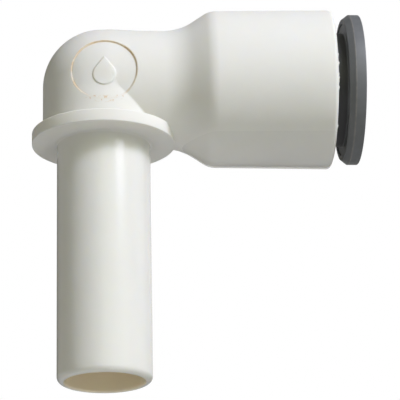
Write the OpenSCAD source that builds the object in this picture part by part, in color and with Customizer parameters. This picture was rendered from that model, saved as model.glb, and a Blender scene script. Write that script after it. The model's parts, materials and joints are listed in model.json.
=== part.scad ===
// Plug-in elbow, push-to-connect, for 12 mm tube. Millimetres.
// Origin: centre of the flange's underside, on the stem's axis.
// +Z runs up the stem's axis to the elbow, +X runs along the tube socket to its mouth.
// The stem plugs into another 12 mm fitting; a 12 mm tube pushes into the socket.

/* [Stem and flange] */
// Outer diameter of the plug-in stem, the same as the tube it stands for
stem_d = 12; // [11.6:0.1:12.2]
// Length of the stem below the flange
stem_len = 31.4; // [26:0.05:36]
// Diameter of the flow bore in the stem
stem_bore_d = 10; // [9.6:0.1:10.2]
// Rounding of the stem's outer end
stem_round = 0.75; // [0.4:0.05:0.85]
// Diameter of the flange
flange_d = 18.45; // [17.6:0.05:18.8]
// Thickness of the flange
flange_t = 1.58; // [1.2:0.02:2]

/* [Elbow] */
// Height of the socket's axis above the flange's underside
axis_h = 7.85; // [7.8:0.05:8.4]
// Diameter of the upright leg and of its domed corner
leg_d = 15.35; // [15.3:0.05:15.5]
// Distance from the stem's axis back to the leg's own axis
leg_shift = 0.15; // [0:0.05:0.2]
// Diameter of the level neck where it leaves the corner
neck_d = 15.6; // [15.5:0.05:15.65]
// Diameter of the level neck where it meets the cone
neck_end_d = 15.4; // [15.2:0.05:15.5]
// Diameter of the flow passage from the corner to the tube stop
passage_d = 9.8; // [9:0.1:9.9]
// Diameter of the round emblem pocket
emblem_d = 8.3; // [7.5:0.05:8.6]
// Distance from the socket's axis down to the pocket's centre
emblem_sink = 0.17; // [0:0.01:0.3]
// Depth of the emblem pocket
emblem_depth = 0.18; // [0.1:0.02:0.3]

/* [Socket] */
// Distance from the stem's axis to the socket's mouth
mouth_x = 29.6; // [29.4:0.02:31]
// Diameter of the socket at its mouth
mouth_d = 20.75; // [20.6:0.05:21.2]
// Diameter of the socket where the cone ends
barrel_d = 20.4; // [20.2:0.05:20.6]
// Distance from the stem's axis to the start of the cone
cone_start_x = 9.84; // [9.4:0.02:9.9]
// Distance from the stem's axis to the end of the cone
cone_end_x = 13.74; // [13.6:0.02:14]
// Radius that blends the neck into the cone
cone_foot_r = 6.3; // [4:0.1:7]
// Radius that blends the cone into the barrel
cone_crown_r = 2.9; // [2:0.1:3.5]
// Rounding of the socket's outer edge at the mouth
mouth_round = 0.5; // [0.3:0.05:0.7]

/* [Tube space] */
// Diameter of the bore that guides the tube
guide_d = 12.2; // [12.16:0.02:12.3]
// Distance from the stem's axis to the tube stop
stop_x = 10.2; // [10:0.1:10.6]
// Distance from the stem's axis to the seal's chamber
seal_x = 15.9; // [15.7:0.1:15.9]
// Diameter of the seal's chamber
seal_d = 16.4; // [16.2:0.1:16.5]
// Distance from the stem's axis to the seat of the grip ring
grip_x = 21.2; // [21.2:0.1:21.4]
// Diameter of the counterbore that holds the retaining sleeve
sleeve_d = 17.8; // [17.6:0.1:18]
// Inner diameter of the seal's lips and of the grip ring's teeth around a fitted tube
hold_d = 12.1; // [12.06:0.02:12.14]

/* [Grip ring] */
// Thickness of the grip ring's sheet
grip_t = 0.4; // [0.3:0.05:0.45]
// Angle of the teeth from the ring's flat rim
tooth_angle = 40; // [36:1:42]
// Number of teeth
tooth_count = 12; // [8:1:14]
// Width of the slots between the teeth
slot_w = 0.7; // [0.5:0.1:0.9]

/* [Release button] */
// Travel of the button from out to fully pressed
travel = 1.35; // [1:0.05:1.4]
// Diameter of the button's flange
rim_d = 19.6; // [19:0.1:20]
// Length of the flange's round outer face
rim_w = 1.32; // [1:0.01:1.4]
// Length of the bevel behind the flange's outer face
bevel_w = 0.78; // [0.7:0.01:1.1]
// Radial depth of the same bevel
bevel_h = 0.6; // [0.4:0.01:0.9]
// Gap between the socket's mouth and the back of the flange
out_gap = 1.49; // [1.45:0.01:1.8]
// Diameter of the button's neck
neck_sleeve_d = 14.8; // [14.7:0.02:14.86]
// Bore of the button
button_bore_d = 12.3; // [12.2:0.02:12.4]
// Number of snap fingers at the button's inner end
finger_count = 4; // [3:1:6]
// Width of the slots between the fingers
finger_slot = 1.2; // [0.8:0.1:1.6]

/* [Hidden] */
$fn = 96;
over = 1;                         // how far a cutter runs past the face it opens
small_edge = 0.15;                // chamfer on moulded edges
arc_steps = 8;                    // straight steps in one blend of the outline
running_gap = 0.08;               // radial gap between the button's neck and its guide lip
wall_gap = 0.05;                  // radial gap between a loose ring and its chamber
seal_len = 3.3;                   // from the chamber's floor to the back of the seal
ring_gap = 0.1;                   // between the seal and its backing ring
lip_x = mouth_x - 1.62;           // inner face of the lip that keeps the button in
sleeve_in_x = grip_x + grip_t + wall_gap;
sleeve_out_x = mouth_x - 0.12;
teeth_root_r = 7.4;               // where the grip ring's teeth leave its flat rim
slot_in_r = 4;                    // radius where the cutters of the radial slots begin
tooth_tan = tan(tooth_angle);
hold_r = hold_d / 2;
// Front face of the teeth at radius r, as the nose of the button meets it
function tooth_face_x(r) = grip_x + grip_t - (teeth_root_r - grip_t * tan(tooth_angle / 2) - r) * tooth_tan;
flange_back_x = mouth_x + out_gap;
button_face_x = flange_back_x + bevel_w + rim_w;
bore_r = button_bore_d / 2;
nose_gap = 0.1;                   // left between nose and teeth at full travel
nose_r = 6.85;                    // outside of the nose, where it meets the teeth
nose_x = tooth_face_x(bore_r) + nose_gap + travel;
finger_r = 7.1;                   // outside of the snap fingers
catch_r = 7.95;                   // outside of their catches
catch_x = lip_x - 0.1;            // outer face of the catches, drawn with the button out
recess_r = 8.6;                   // recess in the back of the button's flange
recess_t = 0.15;                   // its depth
dome_rise = 0.075;                // the dome's centre sits this far above the socket's axis
neck_lead = 1.2;                  // the neck grows out of the corner over this length
root_inset = 0.02;                // the neck starts this much inside the leg
drop_r = 1.45;                    // round part of the drop emblem
drop_sink = 0.75;                 // how far its centre sits below the pocket's centre
drop_tip_r = drop_r * sqrt(2) + 0.35;

// Points of an arc about c, radius r, from angle a0 to a1
function arc(c, r, a0, a1, steps = arc_steps) =
    [for (i = [0 : steps]) let (a = a0 + (a1 - a0) * i / steps) c + r * [cos(a), sin(a)]];
// Half of the turn at the corner p1 of the line p0, p1, p2
function half_turn(p0, p1, p2) =
    let (a = p1 - p0, b = p2 - p1) (atan2(b[1], b[0]) - atan2(a[1], a[0])) / 2;
// Points that round the corner p1 of the line p0, p1, p2 with radius r
function blend(p0, p1, p2, r) =
    let (h = half_turn(p0, p1, p2),
         u = (p1 - p0) / norm(p1 - p0),
         side = sign(h),
         left = [-u[1], u[0]] * side,
         centre = p1 - u * r * abs(tan(h)) + left * r,
         a0 = atan2(-left[1], -left[0]))
    arc(centre, r, a0, a0 + 2 * h);

// Turns a profile of [radius, distance from the stem's axis] about the socket's axis
module about_socket() {
    translate([0, 0, axis_h]) rotate([0, 90, 0]) rotate_extrude() children();
}

// Upright leg with its domed corner, made smaller all round by inset
module leg_form(inset) {
    r = leg_d / 2 - inset;
    translate([-leg_shift, 0, 0]) {
        cylinder(r = r, h = axis_h + dome_rise);
        translate([0, 0, axis_h + dome_rise]) sphere(r = r);
    }
}

// Neck, cone and barrel of the socket, made smaller all round by inset
module socket_form(inset) {
    root = [leg_d / 2 - root_inset - inset, 0];
    neck = [neck_d / 2 - inset, neck_lead];
    foot = [neck_end_d / 2 - inset, cone_start_x];
    crown = [barrel_d / 2 - inset, cone_end_x];
    rim = [mouth_d / 2 - inset, mouth_x];
    about_socket() polygon(concat(
        [[0, 0], root, neck],
        blend(neck, foot, crown, cone_foot_r),
        blend(foot, crown, rim, cone_crown_r),
        arc(rim - [mouth_round, mouth_round], mouth_round, 0, 90),
        [[0, mouth_x]]));
}

module flange_form() {
    r = flange_d / 2;
    rotate_extrude() polygon([
        [0, 0], [r - small_edge, 0], [r, small_edge],
        [r, flange_t - small_edge], [r - small_edge, flange_t], [0, flange_t]]);
}

module stem_form() {
    r = stem_d / 2;
    rotate_extrude() polygon(concat(
        [[0, flange_t / 2], [0, -stem_len]],
        arc([r - stem_round, stem_round - stem_len], stem_round, -90, 0),
        [[r, flange_t / 2]]));
}

// Flow passages: up the stem, round the corner and along to the tube stop
module flow_passage() {
    translate([0, 0, -stem_len - over]) cylinder(d = stem_bore_d, h = stem_len + over + axis_h);
    translate([0, 0, axis_h]) {
        sphere(d = stem_bore_d);
        rotate([0, 90, 0]) cylinder(d = passage_d, h = stop_x + over);
    }
}

// Stepped bore of the socket: tube guide, seal chamber and sleeve counterbore
module socket_bore() {
    guide = guide_d / 2;
    seal = seal_d / 2;
    sleeve = sleeve_d / 2;
    about_socket() polygon([
        [0, stop_x], [guide, stop_x], [guide, seal_x], [seal, seal_x], [seal, grip_x],
        [sleeve, grip_x], [sleeve, mouth_x - small_edge], [sleeve + small_edge + over, mouth_x + over],
        [0, mouth_x + over]]);
}

// A plain water drop, standing upright in the emblem pocket
module drop_outline() {
    translate([0, -drop_sink]) polygon(concat(
        arc([0, 0], drop_r, -225, 45, 24),
        [[0, drop_tip_r]]));
}

// The shallow pocket on the corner's front, with the drop left standing in it
module emblem_pocket() {
    difference() {
        translate([0, 0, axis_h - emblem_sink]) rotate([90, 0, 0]) difference() {
            cylinder(d = emblem_d, h = leg_d);
            linear_extrude(leg_d + over) drop_outline();
        }
        leg_form(emblem_depth);
        socket_form(emblem_depth);
    }
}

module elbow_body() {
    color("#e9e8e0") difference() {
        union() {
            leg_form(0);
            socket_form(0);
            flange_form();
            stem_form();
        }
        flow_passage();
        socket_bore();
        emblem_pocket();
    }
}

// Lip seal: a heel bead towards the grip ring and a thin lip that the water presses on the tube
module tube_seal() {
    outer = seal_d / 2 - wall_gap;
    bead_r = 0.45;
    bead_back = 0.8;              // from the heel's face to the bead's middle
    waist_r = hold_r + bead_r;
    lip_len = 1.5;
    lip_tip = 0.2;                // slope on the lip's inner edge
    lip_w = 0.65;
    groove_len = 1.3;             // the groove behind the lip narrows towards its floor
    groove_w = 1;
    floor_w = 0.3;
    floor_r = hold_r + lip_w + (groove_w - floor_w) / 2;
    front = seal_x + wall_gap;
    back = seal_x + seal_len;
    color("#26272a") about_socket() polygon(concat(
        [[outer, front], [outer, back], [waist_r, back]],
        arc([waist_r, back - bead_back], bead_r, 90, 270),
        [[waist_r, front + lip_len], [hold_r, front + lip_tip], [hold_r + lip_tip, front],
         [hold_r + lip_w, front], [floor_r, front + groove_len], [floor_r + floor_w, front + groove_len],
         [hold_r + lip_w + groove_w, front]]));
}

// Stiff ring that backs the seal and leaves the teeth room to bend
module seal_backing_ring() {
    outer = seal_d / 2 - wall_gap;
    inner = 6.25;                 // just clear of the tube
    front = seal_x + seal_len + ring_gap;
    cone_r = 7.55;                // where the cone under the teeth meets the back face
    color("#d9d6c9") about_socket() polygon([
        [inner, front], [outer, front], [outer, grip_x - wall_gap], [cone_r, grip_x - wall_gap],
        [inner, grip_x - wall_gap - (cone_r - inner)]]);
}

// Stainless ring with a flat rim and teeth that lean towards the tube stop
module grip_ring() {
    rim_r = sleeve_d / 2 - wall_gap;
    bend = grip_t * tan(tooth_angle / 2);
    foot_r = hold_r + grip_t * sin(tooth_angle);
    slot_end_r = teeth_root_r + 0.2;
    reach = 3;                    // the slots' cutters pass this far on each side of the ring
    color("#b9bcc0") difference() {
        about_socket() polygon([
            [rim_r, grip_x], [teeth_root_r, grip_x],
            [foot_r, grip_x - (teeth_root_r - foot_r) * tooth_tan],
            [hold_r, tooth_face_x(hold_r)],
            [teeth_root_r - bend, grip_x + grip_t], [rim_r, grip_x + grip_t]]);
        for (i = [0 : tooth_count - 1]) translate([grip_x, 0, axis_h]) rotate([i * 360 / tooth_count, 0, 0])
            translate([-reach, -slot_w / 2, slot_in_r]) cube([2 * reach, slot_w, slot_end_r - slot_in_r]);
    }
}

// Pressed-in sleeve: clamps the grip ring, and its lip keeps the button in
module retaining_sleeve() {
    skin = sleeve_d / 2 - wall_gap;
    barb = sleeve_d / 2 + 0.1;    // the barbs bite into the counterbore
    barb_len = 1;
    barb_step = 0.05;             // slope on the barbs' steep side
    barbs = [for (start = [2, 4.2]) for (p = [[skin, 0], [barb, barb_len], [skin, barb_len + barb_step]])
        p + [0, sleeve_in_x + start]];
    entry_r = 0.2;                // slope that leads the sleeve into the counterbore
    entry_len = 0.4;
    lip_r = neck_sleeve_d / 2 + running_gap;
    lip_edge = 0.3;               // chamfer on the lip's outer edge
    chamber_r = 8.2;              // room for the button's catches
    chamber_x = grip_x + 2.7;
    clamp_r = 7.45;               // inner edge of the face that clamps the grip ring
    color("#d8d9d4") about_socket() polygon(concat(
        [[clamp_r, sleeve_in_x], [skin - entry_r, sleeve_in_x], [skin, sleeve_in_x + entry_len]],
        barbs,
        [[skin, sleeve_out_x], [lip_r + lip_edge, sleeve_out_x], [lip_r, sleeve_out_x - lip_edge],
         [lip_r, lip_x], [chamber_r, lip_x], [chamber_r, chamber_x],
         [clamp_r, chamber_x - (chamber_r - clamp_r)]]));
}

// Release button: flange to press, neck, and snap fingers with a nose that lifts the teeth
module release_button() {
    rim_r = rim_d / 2;
    neck_r = neck_sleeve_d / 2;
    front = flange_back_x + bevel_w;
    lead = 0.7;                   // chamfer that leads the tube in
    nose_len = 1;
    catch_w = 0.7;
    ramp_len = 0.9;               // slope from the fingers up to their catches
    slot_past = 0.6;              // the slots between the fingers end this far past the catches
    color("#73777a") difference() {
        about_socket() polygon([
            [bore_r, nose_x], [nose_r, nose_x + (nose_r - bore_r) * tooth_tan],
            [finger_r, nose_x + nose_len], [finger_r, catch_x - catch_w - ramp_len],
            [catch_r, catch_x - catch_w], [catch_r, catch_x],
            [neck_r, catch_x], [neck_r, flange_back_x + recess_t], [recess_r, flange_back_x + recess_t],
            [recess_r, flange_back_x], [rim_r - bevel_h, flange_back_x], [rim_r, front],
            [rim_r, button_face_x - small_edge], [rim_r - small_edge, button_face_x],
            [bore_r + lead, button_face_x], [bore_r, button_face_x - lead]]);
        for (i = [0 : finger_count - 1]) translate([0, 0, axis_h])
            rotate([(i + 0.5) * 360 / finger_count, 0, 0])
                translate([nose_x - over, -finger_slot / 2, slot_in_r])
                    cube([catch_x + slot_past - nose_x + over, finger_slot, catch_r + over - slot_in_r]);
    }
}

elbow_body();
tube_seal();
seal_backing_ring();
grip_ring();
retaining_sleeve();
release_button();
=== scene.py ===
import json
import math

import bmesh
import bpy
import numpy as np
from mathutils import Matrix, Vector


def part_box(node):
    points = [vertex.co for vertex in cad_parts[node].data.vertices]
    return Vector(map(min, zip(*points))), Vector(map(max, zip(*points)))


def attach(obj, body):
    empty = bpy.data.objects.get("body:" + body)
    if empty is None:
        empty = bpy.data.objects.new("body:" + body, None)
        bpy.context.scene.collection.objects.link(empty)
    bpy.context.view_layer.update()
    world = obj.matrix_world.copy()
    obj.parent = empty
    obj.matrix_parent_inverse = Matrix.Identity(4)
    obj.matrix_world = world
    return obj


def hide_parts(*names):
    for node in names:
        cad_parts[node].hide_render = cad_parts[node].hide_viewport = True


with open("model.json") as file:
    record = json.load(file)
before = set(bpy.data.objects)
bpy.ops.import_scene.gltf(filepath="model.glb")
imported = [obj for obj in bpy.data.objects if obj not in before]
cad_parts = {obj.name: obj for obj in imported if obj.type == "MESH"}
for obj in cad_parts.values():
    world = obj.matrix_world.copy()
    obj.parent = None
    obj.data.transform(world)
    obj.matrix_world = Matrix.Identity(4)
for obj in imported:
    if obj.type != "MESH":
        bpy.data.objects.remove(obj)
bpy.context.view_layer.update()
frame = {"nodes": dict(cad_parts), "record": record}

# The meshes are built in millimetres with the frame's own origin, and scaled to metres at the end.
MM = 0.001
MOUNTS = {mount["name"]: mount for mount in frame["record"]["mounts"]}


def box_mm(node):
    """The lowest and highest corners of a CAD node, in millimetres."""
    low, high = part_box(node)
    return np.array(low) / MM, np.array(high) / MM


# ---------------------------------------------------------------- sizes, from the frame
BODY_LOW, BODY_HIGH = box_mm("elbow_body")
BUTTON_LOW, BUTTON_HIGH = box_mm("release_button")
AXIS_H = MOUNTS["tube_socket"]["pos_m"][2] / MM
STEM_R = MOUNTS["plug_in_stem"]["dims"]["r_mm"]
GUIDE_R = MOUNTS["tube_socket"]["dims"]["r_mm"]
STEM_END = BODY_LOW[2]
FLANGE_R = -BODY_LOW[0]
MOUTH_X = BODY_HIGH[0]
MOUTH_R = BODY_HIGH[1]
BUTTON_FACE_X = BUTTON_HIGH[0]
RIM_R = BUTTON_HIGH[1]
NOSE_X = BUTTON_LOW[0]
SEAL_PLAY, GRIP_T = 0.05, 0.4
SEAL_X = box_mm("tube_seal")[0][0] - SEAL_PLAY
GRIP_X = box_mm("grip_ring")[1][0] - GRIP_T

# ---------------------------------------------------------------- sizes, as in the CAD source
FLANGE_T = 1.58
LEG_R, LEG_X = 7.675, -0.15
DOME_Z = 0.075
NECK_START_R, NECK_END_R = 7.8, 7.7
BARREL_R = 10.2
CONE_START_X, CONE_END_X = 9.84, 13.74
CONE_FOOT_R, CONE_CROWN_R = 6.3, 2.9
MOUTH_ROUND = 0.5
STEM_ROUND = 0.75
STEM_BORE_R = 5.0
PASSAGE_R = 4.9
STOP_X = 10.2
SEAL_R = 8.2
SLEEVE_R = 8.9
EMBLEM_R, EMBLEM_Z = 4.15, -0.17
EMBLEM_DEPTH = 0.18
DROP_R, DROP_TIP, DROP_SINK = 1.45, 2.4, 0.75
BEVEL_W, BEVEL_H = 0.78, 0.6
RIM_W = 1.32
BORE_R = 6.15
NECK_SLEEVE_R = 7.4
RECESS_R, RECESS_T = 8.6, 0.15
NOSE_R, FINGER_R, CATCH_R = 6.85, 7.1, 7.95
TOOTH_ANGLE = 40
LIP_X = MOUTH_X - 1.62
CATCH_X = LIP_X - 0.1
FLANGE_BACK_X = BUTTON_FACE_X - RIM_W - BEVEL_W

# ---------------------------------------------------------------- detail that only this model has
# The neck's centre line drops by NECK_SAG. It has dropped in full at SAG_FULL_X, comes back by the share
# SAG_EASE from SAG_EASE_X on, and wholly from SAG_END_X on, each over SAG_RUN.
NECK_SAG = 0.13
SAG_FULL_X, SAG_EASE_X, SAG_END_X = 5, 7, 10
SAG_EASE, SAG_RUN = 0.6, 3
# The neck is rounded off inside the leg, behind NECK_BACK_X.
NECK_BACK_X, NECK_BACK_STRETCH = 1, 1.15
# Where the leg and the neck meet: a fillet in the crease, and a softer change on the front of the corner.
# Each is as wide as its blend, and grows from its start (along y) over its run. BEND is the same for the
# inside of the bend, below and right of both axes, where the soft change ends.
CREASE_BLEND, CREASE_START, CREASE_RUN = 0.35, 2.5, 1.7
FRONT_BLEND, FRONT_START, FRONT_RUN = 0.4, 5, 2
BEND_START, BEND_RUN = 0.6, 1.6
# The rings of the corner turn about a line at this distance from both axes, inside the bend.
HINGE = 7.838
EMBLEM_WALL = 0.19
POCKET_RUN, POCKET_TILT = 0.55, 0.22
LEG_ROOT_R = 0.22
MOUTH_CHAMFER = 0.22
# Burrs of flash on the mouth's edge: degrees from the top, and height.
BURRS = ((84, 0.08), (92, 0.14), (100, 0.08), (103, 0.11), (106, 0.07), (109, 0.1), (139, 0.1))
BURR_FOOT = 0.4

# ---------------------------------------------------------------- how finely things are drawn
SKIN_POINTS, TURNED_POINTS, PASSAGE_POINTS = 256, 192, 128
HALVINGS = 44
SHARP_ANGLE = 32.0


# ---------------------------------------------------------------- mesh building
def smooth(t):
    """A smooth step from 0 at t = 0 to 1 at t = 1."""
    t = np.clip(t, 0, 1)
    return t * t * (3 - 2 * t)


def shares(steps):
    """The ends of so many equal steps from 0 to 1, without the 0."""
    return np.linspace(0, 1, steps + 1)[1:]


def rounded(points, radii, step=12.0):
    """A polyline with each inner corner turned into an arc of its radius, a point every step degrees."""
    points = [np.array(p, float) for p in points]
    out = [points[0]]
    for before, corner, after, radius in zip(points, points[1:], points[2:], radii):
        into = (corner - before) / np.linalg.norm(corner - before)
        away = (after - corner) / np.linalg.norm(after - corner)
        turn = math.atan2(into[0] * away[1] - into[1] * away[0], into @ away)
        if radius == 0 or abs(turn) < 1e-6:
            out.append(corner)
            continue
        side = math.copysign(1, turn) * np.array([-into[1], into[0]])
        centre = corner - into * radius * math.tan(abs(turn) / 2) + side * radius
        start = math.atan2(-side[1], -side[0])
        steps = max(2, round(abs(math.degrees(turn)) / step))
        for angle in np.linspace(start, start + turn, steps + 1):
            out.append(centre + radius * np.array([math.cos(angle), math.sin(angle)]))
    out.append(points[-1])
    return np.array(out)


def divided(line, longest):
    """The same polyline with no stretch longer than longest."""
    out = [line[0]]
    for a, b in zip(line, line[1:]):
        count = max(1, math.ceil(np.linalg.norm(b - a) / longest))
        out.extend(a + (b - a) * k / count for k in range(1, count + 1))
    return np.array(out)


def around(count):
    """Angles of the points of one ring: 0 points away from the corner's hinge, 90 degrees to the front."""
    return np.linspace(0, 2 * math.pi, count, endpoint=False)


def rings_on_stem(profile, count):
    """Rings about the stem's axis, one for each (radius, height)."""
    turn = around(count)
    r, z = profile[:, :1], profile[:, 1:]
    return np.stack([-r * np.cos(turn), -r * np.sin(turn), z + 0 * turn], -1)


def rings_on_socket(profile, count):
    """Rings about the socket's axis, one for each (radius, distance from the stem's axis)."""
    turn = around(count)
    r, x = profile[:, :1], profile[:, 1:]
    return np.stack([x + 0 * turn, -r * np.sin(turn), AXIS_H + r * np.cos(turn)], -1)


def sag(x):
    """The neck's centre line drops a little below the socket's axis between the corner and the cone."""
    eased = 1 - SAG_EASE * smooth((x - SAG_EASE_X) / SAG_RUN)
    return NECK_SAG * smooth(x / SAG_FULL_X) * eased * (1 - smooth((x - SAG_END_X) / SAG_RUN))


def ring_faces(rings, count, closed=False):
    """Quads between neighbouring rings of the same count, the last joined to the first if closed."""
    last = rings if closed else rings - 1
    i, j = np.meshgrid(np.arange(last), np.arange(count), indexing="ij")
    below, beside = (i + 1) % rings, (j + 1) % count
    return np.stack([i * count + j, i * count + beside, below * count + beside, below * count + j], -1)


def add_object(name, data):
    """A new object with this data, linked to the scene."""
    thing = bpy.data.objects.new(name, data)
    bpy.context.scene.collection.objects.link(thing)
    return thing


def build(name, vertices, quads, extra=()):
    """A mesh object in millimetres from quads and any other faces, with its normals facing out."""
    mesh = bpy.data.meshes.new(name)
    faces = [tuple(q) for q in quads] + [tuple(f) for f in extra]
    mesh.from_pydata([tuple(v) for v in vertices], [], faces)
    edit = bmesh.new()
    edit.from_mesh(mesh)
    bmesh.ops.delete(edit, geom=[v for v in edit.verts if not v.link_faces], context="VERTS")
    bmesh.ops.remove_doubles(edit, verts=edit.verts, dist=0.0005)
    bmesh.ops.dissolve_degenerate(edit, edges=edit.edges, dist=0.0005)
    bmesh.ops.recalc_face_normals(edit, faces=edit.faces)
    edit.to_mesh(mesh)
    edit.free()
    return add_object(name, mesh)


def capped(name, rings):
    """A closed solid from an open row of rings, with a flat face on each end."""
    steps, count = rings.shape[:2]
    last = (steps - 1) * count
    ends = [list(range(count))[::-1], list(range(last, last + count))]
    return build(name, rings.reshape(-1, 3), ring_faces(steps, count).reshape(-1, 4), ends)


def looped(name, rings):
    """A closed ring-shaped solid from a closed row of rings."""
    steps, count = rings.shape[:2]
    return build(name, rings.reshape(-1, 3), ring_faces(steps, count, closed=True).reshape(-1, 4))


def combine(piece, tool, operation):
    """Joins or cuts piece with tool, and removes the tool."""
    modifier = piece.modifiers.new("combine", "BOOLEAN")
    modifier.operation = operation
    modifier.solver = "MANIFOLD"
    modifier.object = tool
    graph = bpy.context.evaluated_depsgraph_get()
    result = bpy.data.meshes.new_from_object(piece.evaluated_get(graph))
    piece.modifiers.clear()
    piece.data = result
    bpy.data.objects.remove(tool)


def finished(piece, body, node):
    """Scales the piece to metres, shades it smooth up to the sharp angle, and hangs it on the frame."""
    piece.data.transform(Matrix.Scale(MM, 4))
    piece.data.shade_smooth()
    piece.data.set_sharp_from_angle(angle=math.radians(SHARP_ANGLE))
    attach(piece, body)
    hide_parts(node)
    return piece


# ---------------------------------------------------------------- outer form of the corner
def socket_outline():
    """(radius, distance) of the neck, the cone and the barrel, up to the mouth's rounding."""
    points = [(NECK_START_R, 0), (NECK_END_R, CONE_START_X), (BARREL_R, CONE_END_X),
              (MOUTH_R, MOUTH_X), (0, MOUTH_X)]
    return rounded(points, [CONE_FOOT_R, CONE_CROWN_R, MOUTH_ROUND], step=3.0)


OUTLINE = socket_outline()


def leg_distance(x, y, z):
    """Signed distance to the leg and its domed top."""
    up = np.maximum(z - DOME_Z, 0)
    length = np.sqrt((x - LEG_X) ** 2 + y * y + up * up)
    return length - LEG_R, (x - LEG_X, y, up), length


def neck_distance(x, y, z):
    """Signed distance to the neck, the cone and the barrel, rounded off inside the leg."""
    back, z = NECK_BACK_STRETCH * np.minimum(x - NECK_BACK_X, 0), z + sag(x)
    radius = np.interp(x, OUTLINE[:, 1][:-2], OUTLINE[:, 0][:-2])
    length = np.sqrt(back * back + y * y + z * z)
    return length - radius, (back, y, z), length


def outer_distance(x, y, z):
    """Signed distance to the corner's skin, z counted from the socket's axis: the leg and the neck joined,
    with a very small fillet in the crease between them and a soft change from one to the other in front."""
    a, leg_out, leg_length = leg_distance(x, y, z)
    b, neck_out, neck_length = neck_distance(x, y, z)
    cosine = sum(p * q for p, q in zip(leg_out, neck_out)) / np.maximum(leg_length * neck_length, 1e-9)
    below = smooth((np.minimum(x, -z) - BEND_START) / BEND_RUN)
    reach = CREASE_BLEND * (1 - cosine) * smooth((np.abs(y) - CREASE_START) / CREASE_RUN) + 1e-6
    reach += FRONT_BLEND * (1 - below) * smooth((np.abs(y) - FRONT_START) / FRONT_RUN)
    overlap = np.maximum(1 - np.abs(a - b) / reach, 0)
    return np.minimum(a, b) - reach * overlap * overlap / 4


def passage_distance(x, y, z):
    """Signed distance to the flow passage's wall at the corner."""
    up, left = np.maximum(z, 0), np.minimum(x, 0)
    upright = np.sqrt(x * x + y * y + up * up) - STEM_BORE_R
    level = np.sqrt(left * left + y * y + z * z) - PASSAGE_R
    return np.minimum(upright, level)


def crossing(distance, origin, direction, near, far):
    """Where each ray from origin along direction leaves the solid, by halving."""
    low = np.full(direction.shape[:-1], float(near))
    high = np.full(direction.shape[:-1], float(far))
    for _ in range(HALVINGS):
        middle = (low + high) / 2
        point = origin + direction * middle[..., None]
        outside = distance(point[..., 0], point[..., 1], point[..., 2]) > 0
        high = np.where(outside, middle, high)
        low = np.where(outside, low, middle)
    return origin + direction * low[..., None]


def corner_rings(distance, tilts, count):
    """Rings round the corner, one for each tilt in degrees, in planes that turn about the hinge."""
    tilt = np.radians(tilts)[:, None]
    turn = around(count)[None, :]
    flat = 0 * tilt * turn
    origin = np.stack([HINGE - HINGE * np.cos(tilt) + flat, flat, HINGE * np.sin(tilt) - HINGE + flat], -1)
    out = np.stack([-np.cos(tilt) * np.cos(turn), -np.sin(turn) + flat, np.sin(tilt) * np.cos(turn)], -1)
    rings = crossing(distance, origin, out, near=0, far=16)
    rings[..., 2] += AXIS_H
    return rings


def front_y(x, z):
    """y of the corner's front skin over a point of the X-Z plane, z counted from the socket's axis."""
    inside_y = -2.5
    origin = np.stack([x, 0 * x + inside_y, z], -1)
    forward = np.zeros_like(origin)
    forward[..., 1] = -1
    return crossing(outer_distance, origin, forward, near=0, far=8)[..., 1]


# ---------------------------------------------------------------- emblem pocket
def drop_radius(angle):
    """Outline of the water drop about its round part's centre, as a radius for each angle from +X."""
    from_tip = np.abs((angle - math.pi / 2 + math.pi) % (2 * math.pi) - math.pi)
    tangent = math.acos(DROP_R / DROP_TIP)
    return np.where(from_tip < tangent, DROP_R / np.cos(tangent - from_tip), DROP_R)


def pocket_depth(x, z):
    """The pocket runs out at the bottom and is deepest at the upper right. z is counted from its centre."""
    rise = smooth((z + EMBLEM_R) / (POCKET_RUN * EMBLEM_R))
    return EMBLEM_DEPTH * rise * (1 + POCKET_TILT * (x + z) / EMBLEM_R)


def pocket_rings(rim):
    """Rings from the rim of the hole in the skin to the centre of the drop, and the point at that centre.
    Each ring is a line in the X-Z plane with its share of the pocket's depth."""
    count = len(rim)
    flat = np.stack([rim[:, 0], rim[:, 2] - AXIS_H - EMBLEM_Z], -1)
    start = math.atan2(flat[0, 1], flat[0, 0])
    winding = np.unwrap(np.arctan2(flat[:, 1], flat[:, 0]))
    sense = math.copysign(2 * math.pi, winding[-1] - winding[0])
    angle = start + sense * np.arange(count) / count
    ray = np.stack([np.cos(angle), np.sin(angle)], -1)
    centre = np.array([0, -DROP_SINK])
    drop = centre + ray * drop_radius(angle)[:, None]
    edge = EMBLEM_WALL / 2
    outer = ray * (EMBLEM_R + edge)
    inner = ray * (EMBLEM_R - edge)
    foot = drop + ray * edge
    top = drop - ray * edge
    rings = [(flat + (outer - flat) * t, 0.0) for t in shares(8)]
    rings += [(outer + (inner - outer) * t, float(smooth(t))) for t in shares(7)]
    rings += [(inner + (foot - inner) * t, 1.0) for t in shares(19)]
    rings += [(foot + (top - foot) * t, 1 - float(smooth(t))) for t in shares(7)]
    rings += [(top + (centre - top) * t, 0.0) for t in shares(10)[:-1]]
    placed = []
    for line, share in rings:
        x, z = line[:, 0], line[:, 1]
        y = front_y(x, z + EMBLEM_Z) + share * pocket_depth(x, z)
        placed.append(np.stack([x, y, z + EMBLEM_Z + AXIS_H], -1))
    low = EMBLEM_Z - DROP_SINK
    middle = np.array([[0.0, front_y(np.zeros(1), np.full(1, low))[0], AXIS_H + low]])
    return placed, middle


def raise_burrs(rings, count):
    """Raises the small burrs of flash on the front of the mouth's edge."""
    for angle, height in BURRS:
        place = round(angle / 360 * count)
        rings[:, place, 0] += height
        rings[:, place + 1, 0] += BURR_FOOT * height


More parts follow.
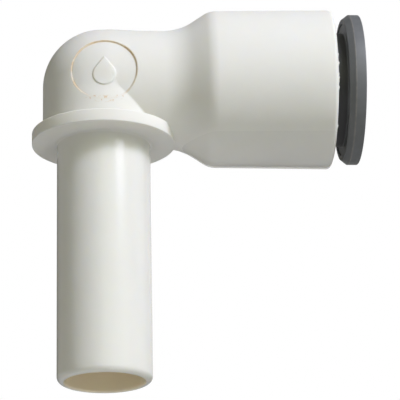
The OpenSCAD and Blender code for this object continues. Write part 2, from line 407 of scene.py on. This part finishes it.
def corner_and_socket():
    """Closed solid of the corner, neck, cone and barrel, with the emblem pocket in its skin."""
    count = SKIN_POINTS
    # Degrees round the bend, with finer steps where the crease crosses it.
    tilts = np.concatenate([np.arange(0, 38, 0.75), np.arange(38, 46, 0.25), np.arange(46, 90.1, 0.75)])
    bend = corner_rings(outer_distance, tilts, count)
    past_bend = OUTLINE[OUTLINE[:, 1] > HINGE + 0.1][:-1]
    face_r = MOUTH_R - MOUTH_ROUND
    face = [(face_r - 0.15, MOUTH_X), (face_r - 0.3, MOUTH_X)]
    straight = rings_on_socket(np.concatenate([divided(past_bend, 1.0), face]), count)
    straight[..., 2] -= sag(straight[..., 0])
    raise_burrs(straight[-4:-1], count)
    rings = np.concatenate([bend, straight])
    steps = len(rings)
    grid = ring_faces(steps, count)
    # The patch of the grid, rings i0 to i1 and points j0 to j1, that makes room for the pocket.
    i0, i1 = np.searchsorted(tilts, (16.5, 73.5))
    j0, j1 = 23, 76
    loop = [(i, j0) for i in range(i0, i1)] + [(i1, j) for j in range(j0, j1)]
    loop += [(i, j1) for i in range(i1, i0, -1)] + [(i0, j) for j in range(j1, j0, -1)]
    keep = np.ones(grid.shape[:2], bool)
    keep[i0:i1, j0:j1] = False
    quads = grid[keep].tolist()
    vertices = rings.reshape(-1, 3)
    loop_index = np.array([i * count + j for i, j in loop])
    placed, middle = pocket_rings(vertices[loop_index])
    base = len(vertices)
    around_pocket = len(loop_index)
    inner = np.concatenate(placed)
    quads += (ring_faces(len(placed), around_pocket).reshape(-1, 4) + base).tolist()
    beside = np.roll(np.arange(around_pocket), -1)
    first = np.stack([loop_index, loop_index[beside], base + beside, base + np.arange(around_pocket)], -1)
    quads += first.tolist()
    last = base + (len(placed) - 1) * around_pocket
    pole = base + len(inner)
    fan = [(last + k, last + int(beside[k]), pole) for k in range(around_pocket)]
    end = (steps - 1) * count
    ends = [list(range(count))[::-1], list(range(end, end + count))]
    return build("elbow_body_skin", np.concatenate([vertices, inner, middle]), quads, fan + ends)


def flange_and_stem():
    """Closed solid of the flange and the stem, before its bore is cut."""
    points = [(0, FLANGE_T), (FLANGE_R, FLANGE_T), (FLANGE_R, 0),
              (STEM_R, 0), (STEM_R, STEM_END), (0, STEM_END)]
    profile = rounded(points, [0.1, 0.12, 0.45, STEM_ROUND], step=11.0)
    return capped("flange_and_stem", rings_on_stem(divided(profile[1:-1], 1.2), TURNED_POINTS))


def leg_root():
    """The small fillet where the leg stands on the flange."""
    root = LEG_ROOT_R
    inner, outer = LEG_R - 0.4, LEG_R + root + 0.05
    bottom, top = FLANGE_T - 0.2, FLANGE_T + root + 0.05
    sunk = 0.006
    points = [(inner, bottom), (inner, top), (LEG_R, top), (LEG_R, FLANGE_T), (outer, FLANGE_T - sunk),
              (outer, bottom), (inner, bottom)]
    rings = rings_on_stem(rounded(points, [0, 0, root, 0, 0])[:-1], TURNED_POINTS)
    rings[..., 0] += LEG_X
    return looped("leg_root", rings)


def passages():
    """Closed solid of everything hollow: stem bore, corner, and the stepped bore of the socket."""
    count = PASSAGE_POINTS
    over = 1.0
    stop_edge, seal_edge = 0.12, 0.15
    stem_end_r, mouth_end_r = STEM_BORE_R + 0.16, SLEEVE_R + MOUTH_CHAMFER
    stem = rounded([(stem_end_r, STEM_END - over), (stem_end_r, STEM_END),
                    (STEM_BORE_R, STEM_END + 0.2), (STEM_BORE_R, -1.0)], [0.0, 0.3])
    socket = [(PASSAGE_R, STOP_X - stop_edge), (PASSAGE_R + stop_edge, STOP_X), (GUIDE_R, STOP_X),
              (GUIDE_R, SEAL_X - seal_edge), (GUIDE_R + seal_edge, SEAL_X), (SEAL_R, SEAL_X),
              (SEAL_R, GRIP_X), (SLEEVE_R, GRIP_X), (SLEEVE_R, MOUTH_X - MOUTH_CHAMFER),
              (mouth_end_r, MOUTH_X), (mouth_end_r, MOUTH_X + over)]
    rings = [rings_on_stem(divided(stem, 1.5), count),
             corner_rings(passage_distance, np.arange(0, 90.1, 2), count),
             rings_on_socket(divided(np.array(socket), 1.5), count)]
    return capped("passages", np.concatenate(rings))


def elbow_body():
    """The whole elbow: one moulding."""
    body = corner_and_socket()
    combine(body, flange_and_stem(), "UNION")
    combine(body, leg_root(), "UNION")
    combine(body, passages(), "DIFFERENCE")
    body.name = "moulded_elbow"
    return finished(body, "fitting", "elbow_body")


# ---------------------------------------------------------------- release button
def button_profile():
    """Closed (radius, distance) line of the button's section, from corners with the radius of each edge."""
    back = FLANGE_BACK_X
    nose_back = NOSE_X + (NOSE_R - BORE_R) * math.tan(math.radians(TOOTH_ANGLE))
    nose_len, finger_end, catch_w, lead = 1, 1.6, 0.7, 0.75
    corners = [
        (BORE_R, NOSE_X, 0.05), (NOSE_R, nose_back, 0.12), (FINGER_R, NOSE_X + nose_len, 0.2),
        (FINGER_R, CATCH_X - finger_end, 0.3), (CATCH_R, CATCH_X - catch_w, 0.15), (CATCH_R, CATCH_X, 0.08),
        (NECK_SLEEVE_R, CATCH_X, 0.1), (NECK_SLEEVE_R, back + RECESS_T, 0.15),
        (RECESS_R, back + RECESS_T, 0.05), (RECESS_R, back, 0.07),
        (RIM_R - BEVEL_H, back, 0.1), (RIM_R, back + BEVEL_W, 0.06), (RIM_R, BUTTON_FACE_X, 0.14),
        (BORE_R + lead, BUTTON_FACE_X, 0.25), (BORE_R, BUTTON_FACE_X - lead, 0.25)]
    line = [c[:2] for c in corners]
    start = tuple((np.array(line[-1]) + np.array(line[0])) / 2)
    return rounded([start] + line + [start], [c[2] for c in corners])[:-1]


def slot_mesh():
    """Cutter of the slot between two snap fingers, standing on the socket's axis."""
    half_width, inner_r, outer_r, past_catch = 0.6, 4, 9, 0.6
    mesh = bpy.data.meshes.new("slot")
    edit = bmesh.new()
    low = Vector((NOSE_X - 1, -half_width, inner_r))
    high = Vector((CATCH_X + past_catch, half_width, outer_r))
    middle, size = (low + high) / 2, high - low
    bmesh.ops.create_cube(edit, size=1, matrix=Matrix.Translation(middle) @ Matrix.Diagonal((*size, 1)))
    edit.to_mesh(mesh)
    edit.free()
    return mesh


def release_button():
    """The grey button: flange, neck, four snap fingers and a nose."""
    fingers = 4
    piece = looped("push_button", rings_on_socket(divided(button_profile(), 0.6), TURNED_POINTS))
    for k in range(fingers):
        slot = add_object("slot", slot_mesh())
        turn = math.radians(360 / fingers * (k + 0.5))
        slot.matrix_world = Matrix.Translation((0, 0, AXIS_H)) @ Matrix.Rotation(turn, 4, "X")
        bpy.context.view_layer.update()
        combine(piece, slot, "DIFFERENCE")
    return finished(piece, "button", "release_button")


# ---------------------------------------------------------------- materials
# The part of a noise's values that its ramps use.
GRAIN = (0.3, 0.7)
CLOUD = (0.35, 0.65)


class Nodes:
    """A short way to add shader nodes and link them."""

    def __init__(self, name):
        """A new material, whose point is the place on the piece in millimetres."""
        self.material = bpy.data.materials.new(name)
        self.material.use_nodes = True
        self.tree = self.material.node_tree
        self.shader = self.tree.nodes["Principled BSDF"]
        place = self.add("ShaderNodeTexCoord")
        scale = self.add("ShaderNodeVectorMath", operation="SCALE")
        scale.inputs["Scale"].default_value = 1 / MM
        self.link(place.outputs["Object"], scale.inputs[0])
        self.point = scale.outputs[0]

    def add(self, kind, **settings):
        """A new node of this kind with these settings."""
        node = self.tree.nodes.new(kind)
        for key, value in settings.items():
            setattr(node, key, value)
        return node

    def link(self, source, target):
        """Links an output to an input."""
        self.tree.links.new(source, target)

    def noise(self, scale, detail=3.0, rough=0.5, stretch=None):
        """Noise of about 1 / scale millimetres."""
        node = self.add("ShaderNodeTexNoise")
        node.inputs["Scale"].default_value = scale
        node.inputs["Detail"].default_value = detail
        node.inputs["Roughness"].default_value = rough
        source = self.point
        if stretch:
            mapping = self.add("ShaderNodeMapping")
            mapping.inputs["Scale"].default_value = stretch
            self.link(self.point, mapping.inputs["Vector"])
            source = mapping.outputs[0]
        self.link(source, node.inputs["Vector"])
        return node.outputs["Fac"]

    def ramp(self, source, low, high, to_low=0.0, to_high=1.0):
        """Maps low..high to to_low..to_high, clamped."""
        node = self.add("ShaderNodeMapRange")
        for key, value in (("From Min", low), ("From Max", high), ("To Min", to_low), ("To Max", to_high)):
            node.inputs[key].default_value = value
        self.link(source, node.inputs["Value"])
        return node.outputs["Result"]

    def math(self, operation, a, b=0.0):
        """An operation on one or two values, each a number or a socket."""
        node = self.add("ShaderNodeMath", operation=operation)
        for socket, value in zip(node.inputs, (a, b)):
            if isinstance(value, (int, float)):
                socket.default_value = value
            else:
                self.link(value, socket)
        return node.outputs[0]

    def hypot(self, a, b):
        """The root of the sum of two squares."""
        squares = self.math("ADD", self.math("MULTIPLY", a, a), self.math("MULTIPLY", b, b))
        return self.math("SQRT", squares)

    def mix(self, share, a, b):
        """Mixes two colours, each a colour or a socket."""
        node = self.add("ShaderNodeMix", data_type="RGBA")
        for key, value in ((0, share), (6, a), (7, b)):
            socket = node.inputs[key]
            if isinstance(value, tuple):
                socket.default_value = (*value, 1)
            elif isinstance(value, (int, float)):
                socket.default_value = value
            else:
                self.link(value, socket)
        return node.outputs[2]

    def bump(self, height, strength, distance):
        """Fine relief of the surface, distance in millimetres."""
        node = self.add("ShaderNodeBump")
        node.inputs["Strength"].default_value = strength
        node.inputs["Distance"].default_value = distance * MM
        self.link(height, node.inputs["Height"])
        self.link(node.outputs[0], self.shader.inputs["Normal"])

    def separate(self):
        """The point's x, y and z, in millimetres."""
        node = self.add("ShaderNodeSeparateXYZ")
        self.link(self.point, node.inputs[0])
        return node.outputs

    def set(self, **values):
        """Sets the shader's own sockets, with _ for each space in a socket's name."""
        for key, value in values.items():
            self.shader.inputs[key.replace("_", " ")].default_value = value


def emblem_stain(n, x, y, z):
    """Share of the tan stain that lies on the emblem pocket's wall, with a few specks of it below."""
    up = n.math("SUBTRACT", z, AXIS_H + EMBLEM_Z)
    from_wall = n.math("SUBTRACT", n.hypot(x, up), EMBLEM_R)
    off_wall = n.math("ABSOLUTE", from_wall)
    patches = n.ramp(n.noise(0.7, detail=2), 0.38, 0.62, 0.45, 1)
    line = n.math("MULTIPLY", n.ramp(off_wall, 0.07, 0.2, 1, 0), patches)
    line = n.math("MULTIPLY", line, n.ramp(up, -3.6, -2.2, 0.15, 1))
    dots = n.math("MULTIPLY", n.ramp(n.noise(2.4, detail=2), 0.56, 0.64), n.ramp(off_wall, 0.2, 0.55, 1, 0))
    specks = n.math("MULTIPLY", dots, n.ramp(up, -3.9, -3.3, 1, 0))
    return n.math("MULTIPLY", n.math("MAXIMUM", line, specks), n.ramp(y, -5.5, -5, 1, 0))


def body_plastic():
    """Off-white moulded plastic: satin on the elbow, glossier on the stem, and paler and tan in the bore as
    painted warm bounce light.
    """
    n = Nodes("moulded_white")
    x, y, z = n.separate()
    off_white, off_white_dark = (0.80, 0.79, 0.735), (0.79, 0.78, 0.72)
    tan, bore_bounce_light = (0.66, 0.47, 0.24), (1.0, 0.87, 0.66)
    cloud = n.noise(0.25, detail=2)
    grain = n.noise(9.0, detail=4, rough=0.6)
    base = n.mix(n.ramp(cloud, *CLOUD), off_white, off_white_dark)
    stain = n.math("MULTIPLY", emblem_stain(n, x, y, z), 0.75)
    base = n.mix(stain, base, tan)
    # Painted light: the bore is paler and tanner than the plastic, standing in for warm light bounced inside
    # it.
    inside = n.ramp(n.hypot(x, y), STEM_BORE_R + 0.1, STEM_BORE_R + 0.25, 1, 0)
    in_bore = n.math("MULTIPLY", inside, n.ramp(z, -1, 0, 1, 0))
    base = n.mix(in_bore, base, bore_bounce_light)
    n.link(base, n.shader.inputs["Base Color"])
    on_stem = n.ramp(z, -0.4, 0.2, 1, 0)
    satin = n.ramp(grain, *GRAIN, 0.75, 0.85)
    gloss = n.ramp(grain, *GRAIN, 0.13, 0.18)
    part = n.math("MULTIPLY", on_stem, n.math("SUBTRACT", gloss, satin))
    n.link(n.math("ADD", satin, part), n.shader.inputs["Roughness"])
    n.bump(grain, 0.25, 0.01)
    n.set(Subsurface_Weight=0.3, Subsurface_Scale=0.0018, Subsurface_Radius=(1.0, 0.8, 0.5))
    return n.material


def button_plastic():
    """Grey moulded plastic with a fine matt texture, painted shade behind the flange, and a paler line on
    the edge between bevel and rim that is partly wear, partly painted highlight.
    """
    n = Nodes("moulded_grey")
    grey, grey_pale = (0.134, 0.140, 0.142), (0.149, 0.154, 0.156)
    shaded, wear_and_highlight_colour = (0.022, 0.02, 0.021), (0.27, 0.25, 0.225)
    cloud = n.noise(0.5, detail=2)
    grain = n.noise(14.0, detail=4, rough=0.65)
    base = n.mix(n.ramp(cloud, *CLOUD), grey, grey_pale)
    x = n.separate()["X"]
    # Painted shade: behind the flange, where the neck sits deep in the socket, the grey is mixed most of the
    # way to near black.
    under = n.ramp(x, FLANGE_BACK_X - 0.1, FLANGE_BACK_X + 0.05, 0.75, 0)
    base = n.mix(under, base, shaded)
    # A paler line on the edge between bevel and rim, broken up by noise: partly wear, partly a painted
    # highlight.
    from_edge = n.math("ABSOLUTE", n.math("SUBTRACT", x, BUTTON_FACE_X - RIM_W))
    wear_and_highlight_share = n.math("MULTIPLY", n.ramp(from_edge, 0.04, 0.14, 0.6, 0), n.ramp(n.noise(1.5), 0.4, 0.6, 0.4, 1))
    base = n.mix(wear_and_highlight_share, base, wear_and_highlight_colour)
    n.link(base, n.shader.inputs["Base Color"])
    n.link(n.ramp(grain, *GRAIN, 0.42, 0.56), n.shader.inputs["Roughness"])
    n.bump(grain, 0.3, 0.012)
    n.set(IOR=1.48)
    return n.material


def textured(name, dark, pale, roughness, relief, **pattern):
    """A material whose colour, roughness and relief follow one noise, made with the pattern's settings."""
    n = Nodes(name)
    grain = n.noise(**pattern)
    n.link(n.mix(n.ramp(grain, *GRAIN), dark, pale), n.shader.inputs["Base Color"])
    n.link(n.ramp(grain, *GRAIN, *roughness), n.shader.inputs["Roughness"])
    n.bump(grain, relief, 0.01)
    return n


def seal_rubber():
    """Black rubber."""
    return textured("nitrile_rubber", (0.012, 0.012, 0.013), (0.024, 0.024, 0.025), (0.5, 0.68), 0.3,
                    scale=12.0, detail=4).material


def ring_plastic():
    """Stiff plastic in its natural colour."""
    return textured("natural_plastic", (0.66, 0.63, 0.54), (0.72, 0.69, 0.60), (0.38, 0.5), 0.2,
                    scale=6.0, detail=3).material


def sleeve_plastic():
    """Off-white plastic."""
    return textured("sleeve_plastic", (0.72, 0.72, 0.68), (0.77, 0.77, 0.72), (0.36, 0.48), 0.2,
                    scale=7.0, detail=3).material


def grip_steel():
    """Stamped stainless sheet, with the fine lines of rolling."""
    n = textured("sheet_steel", (0.5, 0.5, 0.51), (0.66, 0.66, 0.66), (0.22, 0.38), 0.2,
                 scale=3.0, detail=5, rough=0.7, stretch=(1, 1, 14))
    n.set(Metallic=1.0)
    return n.material


def paint(piece, material):
    """Gives a piece, or a CAD node that stays in view, its one material."""
    piece.data.materials.clear()
    piece.data.materials.append(material)


# ---------------------------------------------------------------- studio
CENTRE = Vector((0.0123, 0, -0.00738))
CAMERA_TURN, CAMERA_LIFT, CAMERA_ROLL = 3.626, -19.188, -1.179
CAMERA_DISTANCE = 0.28414
LENS, SENSOR_WIDTH = 199.65, 36
LAMP_DISTANCE = 0.55
WORLD_COLOUR, WORLD_STRENGTH = (1, 0.98, 0.9, 1), 0.14
WHITE = (1, 1, 1, 1)
FLOOR_HALF, FLOOR_LEVEL = 1.6, -0.35
# The floor shines with FLOOR_GLOW on the object, and FLOOR_SEEN more where the camera sees it.
FLOOR_GLOW, FLOOR_SEEN = 0.03, 0.6


def direction(turn, lift):
    """Unit vector away from the object: turn degrees to the right of the front, lift degrees up."""
    turn, lift = math.radians(turn), math.radians(lift)
    return Vector((math.sin(turn) * math.cos(lift), -math.cos(turn) * math.cos(lift), math.sin(lift)))


def camera():
    """A camera that sees the object as the photo does, solved from the outlines in it."""
    data = bpy.data.cameras.new("camera")
    data.sensor_width = SENSOR_WIDTH
    data.lens = LENS
    data.clip_start, data.clip_end = 0.005, 20
    view = add_object("camera", data)
    away = direction(-CAMERA_TURN, CAMERA_LIFT)
    view.location = CENTRE + away * CAMERA_DISTANCE
    view.rotation_euler = ((-away).to_track_quat("-Z", "Y") @ Matrix.Rotation(
        math.radians(CAMERA_ROLL), 4, "Z").to_quaternion()).to_euler()
    bpy.context.scene.camera = view


def hang(light, point, turn, lift, distance):
    """Puts a light at a distance from a point, facing it."""
    towards = direction(turn, lift)
    light.location = Vector(point) + towards * distance
    light.rotation_euler = towards.to_track_quat("Z", "Y").to_euler()


def lamp(name, turn, lift, width, height, power, colour=(1, 1, 1)):
    """A soft box that faces the object."""
    data = bpy.data.lights.new(name, "AREA")
    data.shape = "RECTANGLE"
    data.size, data.size_y = width, height
    data.energy = power
    data.color = colour
    hang(add_object(name, data), CENTRE, turn, lift, LAMP_DISTANCE)


def beam(name, turn, lift, distance, aim, radius, power):
    """A narrow soft spotlight that reaches as far as radius round the point it aims at."""
    data = bpy.data.lights.new(name, "SPOT")
    data.energy = power
    data.spot_size = 2 * math.atan(radius / distance)
    data.spot_blend = 0.7
    data.shadow_soft_size = 0.02
    hang(add_object(name, data), aim, turn, lift, distance)


def studio():
    """A white surround that the camera sees, a dim warm one that lights the object, and the lamps."""
    world = bpy.data.worlds.new("studio")
    world.use_nodes = True
    tree = world.node_tree
    fill = tree.nodes["Background"]
    fill.inputs["Color"].default_value = WORLD_COLOUR
    fill.inputs["Strength"].default_value = WORLD_STRENGTH
    white = tree.nodes.new("ShaderNodeBackground")
    white.inputs["Color"].default_value = WHITE
    white.inputs["Strength"].default_value = 1.0
    path = tree.nodes.new("ShaderNodeLightPath")
    both = tree.nodes.new("ShaderNodeMixShader")
    tree.links.new(path.outputs["Is Camera Ray"], both.inputs[0])
    tree.links.new(fill.outputs[0], both.inputs[1])
    tree.links.new(white.outputs[0], both.inputs[2])
    tree.links.new(both.outputs[0], tree.nodes["World Output"].inputs["Surface"])
    bpy.context.scene.world = world
    bpy.context.scene.view_settings.view_transform = "Standard"
    bpy.context.scene.view_settings.look = "None"
    cool, warm, cream = (0.83, 0.84, 1.0), (0.95, 1.0, 0.7), (1.0, 0.98, 0.92)
    lamp("key", 38, 36, 0.2, 0.3, 1.45, cool)
    lamp("key_core", 38, 36, 0.1, 0.1, 1.5, cool)
    lamp("fill", 25, 18, 0.7, 0.5, 0.7, warm)
    lamp("front", 0, 20, 0.5, 0.4, 0.22, warm)
    lamp("right", 105, 8, 0.4, 0.4, 0.15)
    lamp("left", -120, 5, 0.5, 0.6, 0.32, cream)
    lamp("back", 158, 22, 0.6, 0.5, 0.55)
    beam("under", 30, -65, 0.3, (-0.002, 0, -0.014), 0.017, 0.5)


def floor():
    """A wide white floor, well below the object."""
    mesh = bpy.data.meshes.new("floor")
    half, level = FLOOR_HALF, FLOOR_LEVEL
    corners = [(-half, -half, level), (half, -half, level), (half, half, level), (-half, half, level)]
    mesh.from_pydata(corners, [], [(0, 1, 2, 3)])
    piece = add_object("floor", mesh)
    n = Nodes("floor")
    n.link(n.mix(n.noise(0.02), (0.86, 0.86, 0.86), (0.9, 0.9, 0.9)), n.shader.inputs["Base Color"])
    n.set(Roughness=0.9, Emission_Color=WHITE)
    path = n.add("ShaderNodeLightPath")
    seen = n.math("MULTIPLY", path.outputs["Is Camera Ray"], FLOOR_SEEN)
    n.link(n.math("ADD", seen, FLOOR_GLOW), n.shader.inputs["Emission Strength"])
    mesh.materials.append(n.material)


camera()
studio()
floor()
paint(elbow_body(), body_plastic())
paint(release_button(), button_plastic())
paint(frame["nodes"]["tube_seal"], seal_rubber())
paint(frame["nodes"]["seal_backing_ring"], ring_plastic())
paint(frame["nodes"]["grip_ring"], grip_steel())
paint(frame["nodes"]["retaining_sleeve"], sleeve_plastic())
